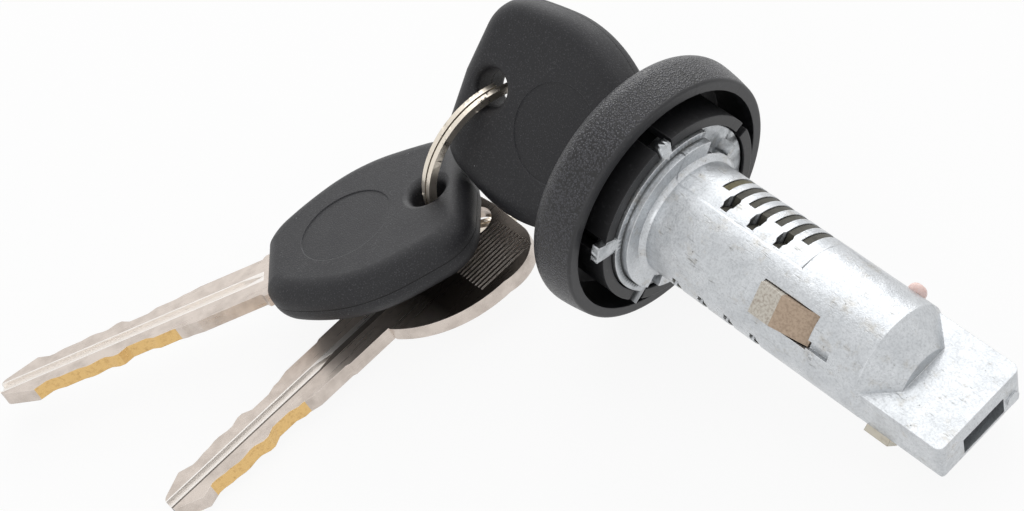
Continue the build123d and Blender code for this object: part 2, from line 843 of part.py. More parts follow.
def head_shell(side):
    """One half of the moulded head, on the +Z or -Z side of the blade."""
    height = head_thickness / 2
    with BuildPart() as shell:
        with BuildSketch():
            add(head_outline())
        extrude(amount=height)
        fillet(shell.faces().sort_by(Axis.Z)[-1].edges(), head_edge)
        with BuildSketch(Plane.XY.offset(height - dish_depth)):
            with Locations((dish_place, 0)):
                Circle(dish_radius)
        extrude(amount=dish_depth, mode=Mode.SUBTRACT)
        with BuildSketch():
            Circle(head_hole_radius)
        extrude(amount=height, mode=Mode.SUBTRACT)
        with BuildSketch(Plane.XZ):
            with BuildLine():
                lip = head_hole_radius + head_hole_edge
                mouth = CenterArc((lip, height - head_hole_edge), head_hole_edge, 90, 90)
                Polyline(mouth @ 1, (0, height - head_hole_edge), (0, height), mouth @ 0)
            make_face()
        revolve(axis=Axis.Z, mode=Mode.SUBTRACT)
        with BuildSketch():
            with Locations((tang_start - tang_clearance, 0)):
                Rectangle(
                    head_length,
                    2 * (tang_half_width + tang_clearance),
                    align=(Align.MIN, Align.CENTER),
                )
        extrude(amount=blade_thickness / 2 + tang_clearance, mode=Mode.SUBTRACT)
    lifted = shell.part.moved(Pos(0, 0, seam_gap / 2))
    return lifted if side > 0 else lifted.mirror(Plane.XY)


for key_name, key_pose in (("key_1", key_1_pose), ("key_2", key_2_pose)):
    write(moulded_key_blade(), f"{key_name}_blade", key_pose)
    write(head_shell(1), f"{key_name}_head_front", key_pose)
    write(head_shell(-1), f"{key_name}_head_back", key_pose)


# Spare key, one plate from bow to tip, with ridged grips beside its hole
with BuildPart() as spare:
    with BuildSketch():
        with BuildLine():
            spare_root = [
                (bow_foot, spare_shank_half_width),
                (shank_end, spare_shank_half_width),
            ]
            Polyline(
                *blade_outline(spare_root, spare_cut_first, spare_cut_codes, spare_length),
                close=True,
            )
        make_face()
        with BuildLine():
            end = Line((bow_end, 0), (bow_end + bow_end_curve, bow_end_half_width))
            corner = TangentArc(end @ 1, (bow_end + bow_widest, bow_half_width), tangent=end % 1)
            flank = TangentArc(corner @ 1, (bow_foot, shank_half_width), tangent=(1, 0))
            Line(flank @ 1, (bow_foot, 0))
            mirror(about=Plane.XZ)
        make_face()
        Circle(bow_hole_radius, mode=Mode.SUBTRACT)
    extrude(amount=spare_thickness / 2, both=True)
    nose = spare.edges().filter_by(Axis.Z).sort_by(Axis.X)[-2:]
    fillet(nose, tip_round)
    add(grooves(spare_thickness, spare_length), mode=Mode.SUBTRACT)
    grip_pitch = (grip_to - grip_from) / (grip_count - 1)
    grip_rows = [grip_from + grip_pitch * number for number in range(grip_count)]
    for height in (spare_thickness / 2 - grip_depth, -spare_thickness / 2):
        with BuildSketch(Plane.XY.offset(height)):
            for row in grip_rows:
                with Locations(((grip_end + grip_foot) / 2, row), ((grip_end + grip_foot) / 2, -row)):
                    Rectangle(grip_foot - grip_end, grip_groove)
        extrude(amount=grip_depth, mode=Mode.SUBTRACT)
write(spare.part, "spare_key", spare_pose)


# Split ring: two flat turns joined by one sloping step
def ring_turn(level):
    """One turn that stops short on both sides of the step."""
    with BuildPart() as turn:
        with BuildSketch(Plane.XZ):
            with Locations((ring_radius, level)):
                Rectangle(ring_wire_depth, ring_wire_width)
        revolve(axis=Axis.Z, revolution_arc=360 - ring_step_angle)
    return turn.part


turn_rise = (ring_wire_width + ring_turn_gap) / 2
step_chord = math.radians(ring_step_angle)
with BuildPart() as ring:
    add(ring_turn(turn_rise))
    add(ring_turn(-turn_rise))
    with BuildSketch(Plane.XZ):
        with Locations((ring_radius, turn_rise)):
            Rectangle(ring_wire_depth, ring_wire_width)
    step_end = Plane.XZ.rotated((0, 0, -ring_step_angle))
    with BuildSketch(step_end):
        with Locations((ring_radius, -turn_rise)):
            Rectangle(ring_wire_depth, ring_wire_width)
    loft()
write(ring.part, "split_ring", ring_plane.location)
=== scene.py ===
"""Looks of an ignition lock cylinder, its three keys and their split ring.

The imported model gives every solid. This script dresses each one with a
procedural finish and adds the stage, the lamps and the camera. It adds the
soft ring at the barrel's root, and it models two solids again: the collar,
whose long tab becomes one straight bar, and the split ring, whose cut end
turns into a key's hole.

Local frames follow the solids: the lock's own frame has X along its axis
towards the tail, and a key's frame has X from its ring hole to its tip, Y
across the blade and Z square to its face. Patterns are sized in millimetres.
"""

import logging
import math
from dataclasses import dataclass
from enum import Enum
from typing import Any

import bpy
from mathutils import Euler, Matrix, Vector

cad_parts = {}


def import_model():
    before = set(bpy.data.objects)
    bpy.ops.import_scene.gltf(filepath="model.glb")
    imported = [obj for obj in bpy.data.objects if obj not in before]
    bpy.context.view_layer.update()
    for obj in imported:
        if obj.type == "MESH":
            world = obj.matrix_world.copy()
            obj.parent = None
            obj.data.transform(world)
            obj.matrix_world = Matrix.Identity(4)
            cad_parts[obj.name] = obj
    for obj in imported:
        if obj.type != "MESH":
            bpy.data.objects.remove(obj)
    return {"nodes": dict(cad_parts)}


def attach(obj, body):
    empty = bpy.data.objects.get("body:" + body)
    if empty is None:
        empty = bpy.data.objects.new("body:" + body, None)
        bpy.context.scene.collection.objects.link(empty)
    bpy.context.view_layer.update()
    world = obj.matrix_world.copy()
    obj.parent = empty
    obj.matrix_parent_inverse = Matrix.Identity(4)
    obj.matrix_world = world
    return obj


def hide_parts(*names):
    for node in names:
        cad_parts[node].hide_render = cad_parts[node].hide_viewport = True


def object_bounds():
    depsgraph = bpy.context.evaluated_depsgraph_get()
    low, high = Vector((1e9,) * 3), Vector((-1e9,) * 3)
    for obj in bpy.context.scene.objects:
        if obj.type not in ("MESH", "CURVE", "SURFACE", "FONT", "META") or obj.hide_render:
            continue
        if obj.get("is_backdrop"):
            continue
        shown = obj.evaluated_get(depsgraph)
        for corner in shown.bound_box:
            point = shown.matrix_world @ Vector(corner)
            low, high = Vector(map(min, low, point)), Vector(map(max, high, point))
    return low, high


LOG = logging.getLogger("ignition_lock")
MM = 0.001
# Height of the table in millimetres, and the lock's turn about Y in degrees
TABLE_HEIGHT = -17.59
LOCK_TILT = 11.82
SMOOTH_ANGLE = math.radians(32)
MERGE_DISTANCE = 0.001 * MM
RUBBED_METAL = "#dcd8d0"
PATTERNS = ("TexNoise", "TexVoronoi")
WHITE = "#ffffff"

Colour = tuple[float, float, float, float]
Inputs = dict[str | int, Any] | tuple[Any, ...]


def linear(hex_colour: str) -> Colour:
    """Turn an sRGB hex colour into a linear one.

    Args:
        hex_colour: Colour as "#rrggbb".

    Returns:
        Linear red, green and blue with an alpha of one.
    """
    parts = [int(hex_colour[start : start + 2], 16) / 255 for start in (1, 3, 5)]
    red, green, blue = [
        part / 12.92 if part <= 0.04045 else ((part + 0.055) / 1.055) ** 2.4 for part in parts
    ]
    return (red, green, blue, 1.0)


def feed(node: bpy.types.Node, inputs: Inputs) -> None:
    """Set or link inputs of a node; a node as a source gives its first output in use.

    Args:
        node: The node.
        inputs: Value or source of each input, in order or by name or number.
    """
    for key, value in inputs.items() if isinstance(inputs, dict) else enumerate(inputs):
        if isinstance(value, bpy.types.Node):
            value = next(output for output in value.outputs if output.enabled)
        if isinstance(value, bpy.types.NodeSocket):
            node.id_data.links.new(value, node.inputs[key])
        else:
            node.inputs[key].default_value = value


def add_node(
    tree: bpy.types.NodeTree, kind: str, inputs: Inputs = (), **settings: Any
) -> bpy.types.Node:
    """Add a shader node with its settings, values and links.

    Args:
        tree: Node tree that gets the node.
        kind: Blender's name of the node type, after "ShaderNode".
        inputs: Value or source of each input, in order or by name or number.
        settings: Properties of the node.

    Returns:
        The new node.
    """
    node = tree.nodes.new(f"ShaderNode{kind}")
    for name, value in settings.items():
        setattr(node, name, value)
    feed(node, inputs)
    return node


@dataclass(frozen=True)
class Placement:
    """Where a local frame lies in the row frame.

    Attributes:
        origin_mm: Origin in millimetres.
        turn_deg: Turns about X, then Y, then Z, in degrees.
    """

    origin_mm: tuple[float, float, float]
    turn_deg: tuple[float, float, float]

    @property
    def turn(self) -> Euler:
        """Turn in radians."""
        return Euler([math.radians(angle) for angle in self.turn_deg], "XYZ")

    @property
    def origin(self) -> Vector:
        """Origin in metres."""
        return Vector(self.origin_mm) * MM


# From the lock's origin to the ring hole of the key that is in the lock
KEY_1_REACH = 35.6
LOCK = Placement((0.0, 0.0, 0.0), (0.0, LOCK_TILT, 0.0))
KEY_1 = Placement(
    (
        -KEY_1_REACH * math.cos(math.radians(LOCK_TILT)),
        0.0,
        KEY_1_REACH * math.sin(math.radians(LOCK_TILT)),
    ),
    (45.0, LOCK_TILT, 0.0),
)
KEY_2 = Placement((-38.64, -16.35, TABLE_HEIGHT + 12.66), (9.1, 6.1, -125.4))
SPARE = Placement((-38.12, -12.59, TABLE_HEIGHT + 4.94), (5.3, 3.3, -93.5))


class Surface:
    """A material being built in the frame of the part it covers."""

    def __init__(self, name: str, placement: Placement) -> None:
        """Start the material with its shader and local coordinates.

        Args:
            name: Material name.
            placement: Frame in which patterns and masks are drawn.
        """
        self.material = bpy.data.materials.new(name)
        self.material.use_nodes = True
        self.tree = self.material.node_tree
        self.tree.nodes.clear()
        self.shader = self.add("BsdfPrincipled")
        self.add("OutputMaterial", {"Surface": self.shader})
        coordinates = self.add("TexCoord").outputs
        self.place = self.add(
            "Mapping",
            {
                "Vector": coordinates["Object"],
                "Location": placement.origin,
                "Rotation": placement.turn,
                "Scale": (MM, MM, MM),
            },
            vector_type="TEXTURE",
        )
        self.normal = self.add(
            "Mapping",
            {"Vector": coordinates["Normal"], "Rotation": placement.turn},
            vector_type="TEXTURE",
        )
        self.x, self.y, self.z = self.add("SeparateXYZ", (self.place,)).outputs

    def add(self, kind: str, inputs: Inputs = (), **settings: Any) -> bpy.types.Node:
        """Add a node to this material's tree; a pattern lies in the part's frame by default."""
        inputs = {"Vector": self.place, **inputs} if kind in PATTERNS else inputs
        return add_node(self.tree, kind, inputs, **settings)

    def edges(self, width_mm: float) -> tuple[bpy.types.Node, bpy.types.Node]:
        """Find the edges, which moulds round and hands polish.

        Args:
            width_mm: Radius to which an edge looks rounded.

        Returns:
            Rounded normal, and a mask that is one on the edges.
        """
        rounded = self.add("Bevel", (width_mm * MM,), samples=4)
        sharp = self.add("NewGeometry").outputs["Normal"]
        likeness = self.add("VectorMath", (rounded, sharp), operation="DOT_PRODUCT")
        return rounded, self.add("MapRange", (likeness, 0.97, 0.86))

    def paint(self, base: Any, *coats: tuple[Any, float, Any]) -> Any:
        """Lay coats of colour over each other.

        Args:
            base: Lowest colour, as "#rrggbb" or as a node.
            coats: Mask of each coat, how much of it shows, and its colour.

        Returns:
            The colour that is seen.
        """
        for mask, share, colour in coats:
            if share < 1:
                mask = self.add("Math", (mask, share), operation="MULTIPLY")
            below, above = (
                linear(tone) if isinstance(tone, str) else tone for tone in (base, colour)
            )
            base = self.add("Mix", {"Factor": mask, 6: below, 7: above}, data_type="RGBA")
        return base

    def finish(
        self, values: dict[str, Any], height: Any, strength: float, depth_mm: float, rounded: Any
    ) -> bpy.types.Material:
        """Give the shader its values and its relief.

        Args:
            values: Inputs of the shader by name.
            height: Height of the relief, in units of its depth.
            strength: How strongly the relief shows.
            depth_mm: Depth of the relief.
            rounded: Normal with rounded edges.

        Returns:
            The finished material.
        """
        bump = {"Height": height, "Strength": strength, "Distance": depth_mm * MM}
        relief = self.add("Bump", {**bump, "Normal": rounded})
        feed(self.shader, {**values, "Normal": relief})
        return self.material


@dataclass(frozen=True)
class CastZinc:
    """Zinc alloy die casting, left as cast.

    The eye sees a pale satin metal with a cloudy tone, warm stains, fine
    pits, short scratches of handling and edges rubbed bright. The creases
    are darkened with painted shade.

    Attributes:
        name: Material name.
        pale: Colour of the clean casting.
        dull: Colour of the oxidised clouds.
        stain: Colour of the warm stains.
        grime: Colour of pits and scratches, and of the painted shade in the creases.
        bright: Colour of the rubbed edges.
        edge_mm: Radius to which the edges look rounded.
        crease_shade_mm: Width of the painted shade in the creases.
        roughness: Roughness of the clean casting.
        cloud_mm: Size of the cloudy tone.
        stain_mm: Size of the stains.
        pit_mm: Spacing of the pits.
        scratch_mm: Spacing of the scratches.
        mottle_mm: Size of the fine uneven tone.
        grain_mm: Size of the casting's skin.
        step_width: Distance of the mould's step from the axis, 0 for none.
        step_end: End of the mould's step along the axis.
        step_blur: Half of the width of the step's edge.
    """

    name: str = "die_cast_zinc"
    pale: str = "#cdd0d3"
    dull: str = "#a9adb1"
    stain: str = "#a8a091"
    grime: str = "#5a5852"
    bright: str = "#e6e8ea"
    edge_mm: float = 0.16
    crease_shade_mm: float = 1.1
    roughness: float = 0.25
    cloud_mm: float = 3.2
    stain_mm: float = 2.6
    pit_mm: float = 0.9
    scratch_mm: float = 0.3
    mottle_mm: float = 0.32
    grain_mm: float = 0.2
    step_width: float = 6.6
    step_end: float = 22.5
    step_blur: float = 0.11

    def build(self, placement: Placement) -> bpy.types.Material:
        """Build the material.

        Args:
            placement: Frame of the lock.

        Returns:
            The finished material.
        """
        surface = Surface(self.name, placement)
        rounded, rubbed = surface.edges(self.edge_mm)
        clouds = surface.add(
            "TexNoise", {"Scale": 1 / self.cloud_mm, "Detail": 8.0, "Roughness": 0.74}
        )
        patches = surface.add(
            "TexNoise", {"Scale": 1 / self.stain_mm, "Detail": 8.0, "Roughness": 0.7}
        )
        stained = surface.paint(
            self.pale,
            (surface.add("MapRange", (clouds, 0.42, 0.76, 0.0, 0.6)), 1, self.dull),
            (surface.add("MapRange", (patches, 0.55, 0.7, 0.0, 0.5)), 1, self.stain),
        )
        mottle = surface.add(
            "TexNoise", {"Scale": 1 / self.mottle_mm, "Detail": 3.0, "Roughness": 0.7}
        )
        uneven = surface.add("MapRange", (mottle, 0.28, 0.56, 0.78, 1.03))
        mottled = surface.add("HueSaturation", {"Color": stained, "Value": uneven})
        cells = surface.add("TexVoronoi", {"Scale": 1 / self.pit_mm})
        pit_size = surface.add("MapRange", (patches, 0.46, 0.72, 0.0, 0.15))
        pit_depth = surface.add("Math", (cells, pit_size), operation="SUBTRACT")
        pits = surface.add("MapRange", (pit_depth, 0.03, -0.04))
        scratches = self.scratches(surface, patches)
        # Painted shade: ambient occlusion darkens the creases; the pits and scratches added to it
        # are real marks
        hollow = surface.add("AmbientOcclusion", {"Distance": self.crease_shade_mm * MM}, samples=4)
        marks_and_crease_shade = surface.add("MapRange", (hollow.outputs["AO"], 0.55, 0.2, 0.0, 0.55))
        for mask, share in ((scratches, 0.5), (pits, 0.75)):
            mark = surface.add("Math", (mask, share), operation="MULTIPLY")
            marks_and_crease_shade = surface.add("Math", (mark, marks_and_crease_shade), operation="MAXIMUM")
        matt = surface.add("MapRange", (clouds, 0.3, 0.7, self.roughness, self.roughness + 0.13))
        values = {
            "Base Color": surface.paint(mottled, (marks_and_crease_shade, 1, self.grime), (rubbed, 0.7, self.bright)),
            "Metallic": 0.9,
            "Roughness": surface.add("Math", (marks_and_crease_shade, 0.3, matt), operation="MULTIPLY_ADD"),
        }
        relief = self.relief(surface, pits, scratches)
        return surface.finish(values, relief, 0.6, 0.07, rounded)

    def scratches(self, surface: Surface, where: bpy.types.Node) -> bpy.types.Node:
        """Draw short scratches in three directions, where handling was rough.

        Args:
            surface: The material being built.
            where: Uneven field that says how rough the handling was.

        Returns:
            Mask of the scratches.
        """
        total: Any = 0.0
        for turned, seed in (
            ((0.3, 0.5, 0.7), 0.0),
            ((1.2, -0.4, 2.1), 7.0),
            ((0.1, 1.1, 1.5), 3.0),
        ):
            stretched = surface.add(
                "Mapping",
                {
                    "Vector": surface.place,
                    "Location": (seed, seed, seed),
                    "Rotation": turned,
                    "Scale": (0.13, 1.0, 1.0),
                },
            )
            streaks = surface.add(
                "TexNoise", {"Vector": stretched, "Scale": 1 / self.scratch_mm, "Detail": 2.0}
            )
            mask = surface.add("MapRange", (streaks, 0.66, 0.76))
            total = surface.add("Math", (total, mask), operation="MAXIMUM")
        rough = surface.add("MapRange", (where, 0.4, 0.6))
        return surface.add("Math", (total, rough), operation="MULTIPLY")

    def relief(
        self, surface: Surface, pits: bpy.types.Node, scratches: bpy.types.Node
    ) -> bpy.types.Node:
        """Add up the casting's skin, its pits, its scratches and the mould's step.

        Args:
            surface: The material being built.
            pits: Mask of the pits.
            scratches: Mask of the scratches.

        Returns:
            Height of the surface in units of the bump's distance.
        """
        height = surface.add("TexNoise", {"Scale": 1 / self.grain_mm, "Detail": 4.0})
        waves = surface.add("TexNoise", {"Scale": 0.5, "Detail": 2.0})
        for field, depth in ((waves, 2.5), (pits, -1.5), (scratches, -0.6)):
            height = surface.add("Math", (field, depth, height), operation="MULTIPLY_ADD")
        if not self.step_width:
            return height
        keyway = surface.add(
            "Mapping",
            {"Vector": surface.place, "Rotation": (math.radians(45), 0.0, 0.0)},
            vector_type="TEXTURE",
        )
        turned = surface.add("SeparateXYZ", (keyway,)).outputs
        step = surface.add("Math", (turned[1], 0.0), operation="GREATER_THAN")
        for value, end in ((turned[2], self.step_width), (surface.x, self.step_end)):
            within = surface.add("MapRange", (value, end + self.step_blur, end - self.step_blur))
            step = surface.add("Math", (step, within), operation="MULTIPLY")
        return surface.add("Math", (step, -4.0, height), operation="MULTIPLY_ADD")


@dataclass(frozen=True)
class GrainedPlastic:
    """Injection moulded black plastic with a fine leather grain outside.

    The rear rim and the inside come from polished parts of the mould, so
    they are smooth; the inside is painted darker as shade, the grain's tops
    are painted pale as highlight specks, and rubbing has paled the rim's edges.

    Attributes:
        name: Material name.
        dark: Colour in the grain's valleys.
        pale: Colour painted on the grain's tops as highlight specks.
        smooth: Colour of the smooth rim.
        inside: Colour of the recess and the clips, painted darker as shade.
        rub: Colour of rubbed edges.
        grain_mm: Size of a grain cell.
        rim_x: Place of the rear rim along the lock's axis.
        front_x: Place of the grained front along the lock's axis.
        grain_radius: Radius outside which the grain begins.
        inner_radius: Radius inside which the recess lies.
        seams: Angles of the mould's seams on the rim, from +Z towards +Y.
        seam_gap: How far a seam's line strays from its angle.
        edge_mm: Radius to which the edges look rounded.
    """

    name: str = "grained_bezel_plastic"
    dark: str = "#151517"
    pale: str = "#44444a"
    smooth: str = "#1e1e21"
    inside: str = "#151517"
    rub: str = "#6f6f73"
    grain_mm: float = 0.3
    rim_x: float = -3.9
    front_x: float = -10.2
    grain_radius: float = 17.3
    inner_radius: float = 17.05
    seams: tuple[float, ...] = (29.0, 62.0)
    seam_gap: float = 0.0008
    edge_mm: float = 0.25

    def build(self, placement: Placement) -> bpy.types.Material:
        """Build the material.

        Args:
            placement: Frame of the lock.

        Returns:
            The finished material.
        """
        surface = Surface(self.name, placement)
        rounded, rubbed = surface.edges(self.edge_mm)
        flat = surface.add("CombineXYZ", {"Y": surface.y, "Z": surface.z})
        radius = surface.add("VectorMath", (flat,), operation="LENGTH")
        outside = surface.add(
            "MapRange", (radius, self.grain_radius - 0.15, self.grain_radius + 0.15)
        )
        front = surface.add("Math", (surface.x, self.front_x), operation="LESS_THAN")
        either = surface.add("Math", (outside, front), operation="MAXIMUM")
        ahead = surface.add("MapRange", (surface.x, self.rim_x, self.rim_x - 0.25))
        grained = surface.add("Math", (either, ahead), operation="MULTIPLY")
        warp = surface.add("TexNoise", {"Scale": 1.6, "Detail": 2.0})
        wavy = surface.add(
            "VectorMath",
            (warp.outputs["Color"], (0.25, 0.25, 0.25), surface.place),
            operation="MULTIPLY_ADD",
        )
        cells = surface.add(
            "TexVoronoi",
            {"Vector": wavy, "Scale": 1 / self.grain_mm, "Smoothness": 0.3},
            feature="SMOOTH_F1",
        )
        tops = surface.add("MapRange", (cells, 0.62, 0.22))
        height = surface.add("Math", (tops, grained), operation="MULTIPLY")
        seam = self.seam_mask(surface, radius)
        fine = surface.add("TexNoise", {"Scale": 6.0, "Detail": 5.0})
        for field, depth in ((seam, -1.5), (fine, 0.15)):
            height = surface.add("Math", (field, depth, height), operation="MULTIPLY_ADD")
        shaded_recess = surface.add("Math", (radius, self.inner_radius), operation="LESS_THAN")
        # Painted shade darkens the recess, and painted highlight pales the grain's tops
        colour = surface.paint(
            self.smooth,
            (shaded_recess, 1, self.inside),
            (grained, 1, surface.paint(self.dark, (tops, 1, self.pale))),
            (seam, 1, self.dark),
            (surface.add("MapRange", (warp, 0.6, 0.75, 0.0, 0.12)), 1, self.rub),
            (rubbed, 0.35, self.rub),
        )
        values = {
            "Base Color": colour,
            "Roughness": surface.add("MapRange", (grained, 0.0, 1.0, 0.4, 0.36)),
            "Specular IOR Level": 0.5,
        }
        return surface.finish(values, height, 1.0, 0.11, rounded)

    def seam_mask(self, surface: Surface, radius: bpy.types.Node) -> bpy.types.Node:
        """Draw the hairline seams of the mould across the rear rim.

        Args:
            surface: The material being built.
            radius: Distance from the lock's axis.

        Returns:
            Mask of the seams.
        """
        total: Any = 0.0
        for angle in self.seams:
            along = (0.0, math.sin(math.radians(angle)), math.cos(math.radians(angle)))
            reach = surface.add("VectorMath", (surface.place, along), operation="DOT_PRODUCT")
            gap = surface.add("Math", (radius, reach), operation="SUBTRACT")
            line = surface.add("Math", (gap, self.seam_gap), operation="LESS_THAN")
            total = surface.add("Math", (total, line), operation="MAXIMUM")
        return total


@dataclass(frozen=True)
class HeadPlastic:
    """Injection moulded charcoal plastic of the key heads.

    The mould was spark eroded, so the surface is matte with a very fine
    grain whose sparkle is painted as pale specks; dust and tiny scuffs also
    show as pale specks, and the outer edges are slightly polished by hands.

    Attributes:
        name: Material name.
        colour: Colour of the plastic.
        scuff_and_glint: Colour of specks, scuffs and rubbed edges, and of the painted glints on the
            grain.
        seam: Colour of the line where the two shells meet.
        grain_mm: Size of the mould's grain, twice as coarse as the real one so that it shows.
        seam_mm: Half of that line's width.
        speck_mm: Spacing of the specks.
        cloud_mm: Size of the uneven sheen.
        edge_mm: Radius to which the edges look rounded.
    """

    name: str = "key_head_plastic"
    colour: str = "#1d1d20"
    scuff_and_glint: str = "#8b8b90"
    seam: str = "#060607"
    grain_mm: float = 0.2
    seam_mm: float = 0.09
    speck_mm: float = 1.5
    cloud_mm: float = 4.5
    edge_mm: float = 0.18

    def build(self, placement: Placement) -> bpy.types.Material:
        """Build the material.

        Args:
            placement: Frame of the key.

        Returns:
            The finished material.
        """
        surface = Surface(self.name, placement)
        rounded, rubbed = surface.edges(self.edge_mm)
        grain = surface.add("TexNoise", {"Scale": 1 / self.grain_mm, "Detail": 2.0})
        clouds = surface.add("TexNoise", {"Scale": 1 / self.cloud_mm, "Detail": 5.0})
        cells = surface.add("TexVoronoi", {"Scale": 1 / self.speck_mm})
        speck_size = surface.add("MapRange", (clouds, 0.45, 0.75, 0.0, 0.07))
        marks = surface.add("Math", (cells, speck_size), operation="LESS_THAN")
        wear = surface.add("Math", (rubbed, 0.25), operation="MULTIPLY")
        # Painted glints: pale specks on the grain stand in for its sparkle in the light
        painted_glints = surface.add("MapRange", (grain, 0.56, 0.72, 0.0, 0.16))
        for mask in (wear, painted_glints):
            marks = surface.add("Math", (marks, mask), operation="MAXIMUM")
        tone = surface.add("MapRange", (clouds, 0.0, 1.0, 0.86, 1.16))
        even = surface.add("HueSaturation", {"Color": linear(self.colour), "Value": tone})
        height = surface.add("Math", (surface.z,), operation="ABSOLUTE")
        seam = surface.add("Math", (height, self.seam_mm), operation="LESS_THAN")
        values = {
            "Base Color": surface.paint(even, (marks, 1, self.scuff_and_glint), (seam, 1, self.seam)),
            "Roughness": surface.add("MapRange", (clouds, 0.0, 1.0, 0.44, 0.6)),
            "Specular IOR Level": 0.38,
        }
        relief = surface.add("Math", (seam, -2.0, grain), operation="MULTIPLY_ADD")
        return surface.finish(values, relief, 0.8, 0.06, rounded)


@dataclass(frozen=True)
class KeyMetal:
    """Nickel plated brass key blank, milled on its edges.

    The plating is a warm pale grey with fine rolling lines along the blade,
    and the milled grooves shine with a painted bright reflection, which is
    dark on their far side where a dark colour is given. Where the cutter took
    the plating off, the edges show raw brass with cross lines from its teeth.

    Attributes:
        name: Material name.
        plating: Colour of the plating.
        shade: Colour of its darker clouds.
        groove: Colour of the groove, painted bright as a reflection.
        brass: Colour of the cut edges.
        tarnish: Colour of the tarnish on the brass.
        cuts_from: First cut's place along the key.
        cuts_to: Last cut's place along the key.
        cut_inside: Distance from the middle line where the cuts can begin.
        groove_from: Place where the groove begins.
        groove_half_width: Half of the groove's width.
        groove_shade: Colour of the groove's far side, a painted reflection.
        line_mm: Spacing of the rolling lines.
        cloud_mm: Size of the plating's clouds.
        chatter_mm: Size of the marks that the cutter left.
        bow_reflection_to: Place where the painted dark reflection on the bow ends.
        bow_reflection: Colour of that painted reflection.
        edge_mm: Radius to which the edges look rounded.
    """

    name: str = "key_metal"
    plating: str = "#d8cdc4"
    shade: str = "#b4a9a0"
    groove: str = "#f2ede8"
    brass: str = "#e3be80"
    tarnish: str = "#b08a55"
    cuts_from: float = 43.0
    cuts_to: float = 67.3
    cut_inside: float = 1.5
    groove_from: float = 28.2
    groove_half_width: float = 1.1
    groove_shade: str = "#f2ede8"
    line_mm: float = 0.25
    cloud_mm: float = 2.857
    chatter_mm: float = 0.625
    bow_reflection_to: float = -99.0
    bow_reflection: str = "#5b544e"
    edge_mm: float = 0.1

    def build(self, placement: Placement) -> bpy.types.Material:
        """Build the material.

        Args:
            placement: Frame of the key.

        Returns:
            The finished material.
        """
        surface = Surface(self.name, placement)
        rounded, rubbed = surface.edges(self.edge_mm)
        lines = surface.add("Mapping", {"Vector": surface.place, "Scale": (0.05, 1.0, 1.0)})
        rolled = surface.add(
            "TexNoise", {"Vector": lines, "Scale": 1 / self.line_mm, "Detail": 5.0}
        )
        clouds = surface.add(
            "TexNoise", {"Scale": 1 / self.cloud_mm, "Detail": 6.0, "Roughness": 0.6}
        )
        lift = surface.add("SeparateXYZ", (surface.normal,)).outputs["Z"]
        # Painted reflection: the bow's faces that look up take a dark colour, standing in for a
        # dark thing mirrored there
        bow = surface.add("MapRange", (surface.x, self.bow_reflection_to + 3, self.bow_reflection_to - 3))
        level = surface.add("Math", (lift, 0.7), operation="GREATER_THAN")
        painted_bow_reflection = surface.add("Math", (bow, level), operation="MULTIPLY")
        across = surface.add("Math", (surface.y,), operation="ABSOLUTE")
        within = surface.add("Math", (across, self.groove_half_width), operation="LESS_THAN")
        past = surface.add("Math", (surface.x, self.groove_from), operation="GREATER_THAN")
        grooved = surface.add("Math", (within, past), operation="MULTIPLY")
        # Painted reflection: the groove is bright, and its far side takes the groove_shade colour
        far = surface.add("Math", (surface.y, 0.0), operation="GREATER_THAN")
        chatter = surface.add(
            "TexNoise", {"Scale": 1 / self.chatter_mm, "Detail": 6.0, "Roughness": 0.75}
        )
        oxide = surface.add("MapRange", (chatter, 0.5, 0.75, 0.0, 0.8))
        colour = surface.paint(
            self.plating,
            (surface.add("MapRange", (clouds, 0.42, 0.75, 0.0, 0.8)), 1, self.shade),
            (painted_bow_reflection, 1, self.bow_reflection),
            (grooved, 1, surface.paint(self.groove, (far, 1, self.groove_shade))),
            (
                self.cut_mask(surface, across, lift),
                1,
                surface.paint(self.brass, (oxide, 1, self.tarnish)),
            ),
            (rubbed, 0.5, self.groove),
        )
        values = {
            "Base Color": colour,
            "Metallic": 0.88,
            "Roughness": surface.add("MapRange", (rolled, 0.0, 1.0, 0.2, 0.4)),
        }
        vee = surface.add("Math", (across, grooved), operation="MULTIPLY")
        relief = surface.add("Math", (vee, 6.0, rolled), operation="MULTIPLY_ADD")
        return surface.finish(values, relief, 0.5, 0.04, rounded)

    def cut_mask(
        self, surface: Surface, across: bpy.types.Node, lift: bpy.types.NodeSocket
    ) -> bpy.types.Node:
        """Mark the cut edges, where raw brass shows.

        Args:
            surface: The material being built.
            across: Distance from the blade's middle line.
            lift: How far the surface faces up from the blade's side, from -1 to 1.

        Returns:
            Mask of the cut edges.
        """
        mask: Any = 1.0
        for value, operation, limit in (
            (surface.add("Math", (lift,), operation="ABSOLUTE"), "LESS_THAN", 0.5),
            (surface.x, "GREATER_THAN", self.cuts_from),
            (surface.x, "LESS_THAN", self.cuts_to),
            (across, "GREATER_THAN", self.cut_inside),
        ):
            test = surface.add("Math", (value, limit), operation=operation)
            mask = surface.add("Math", (mask, test), operation="MULTIPLY")
        return mask


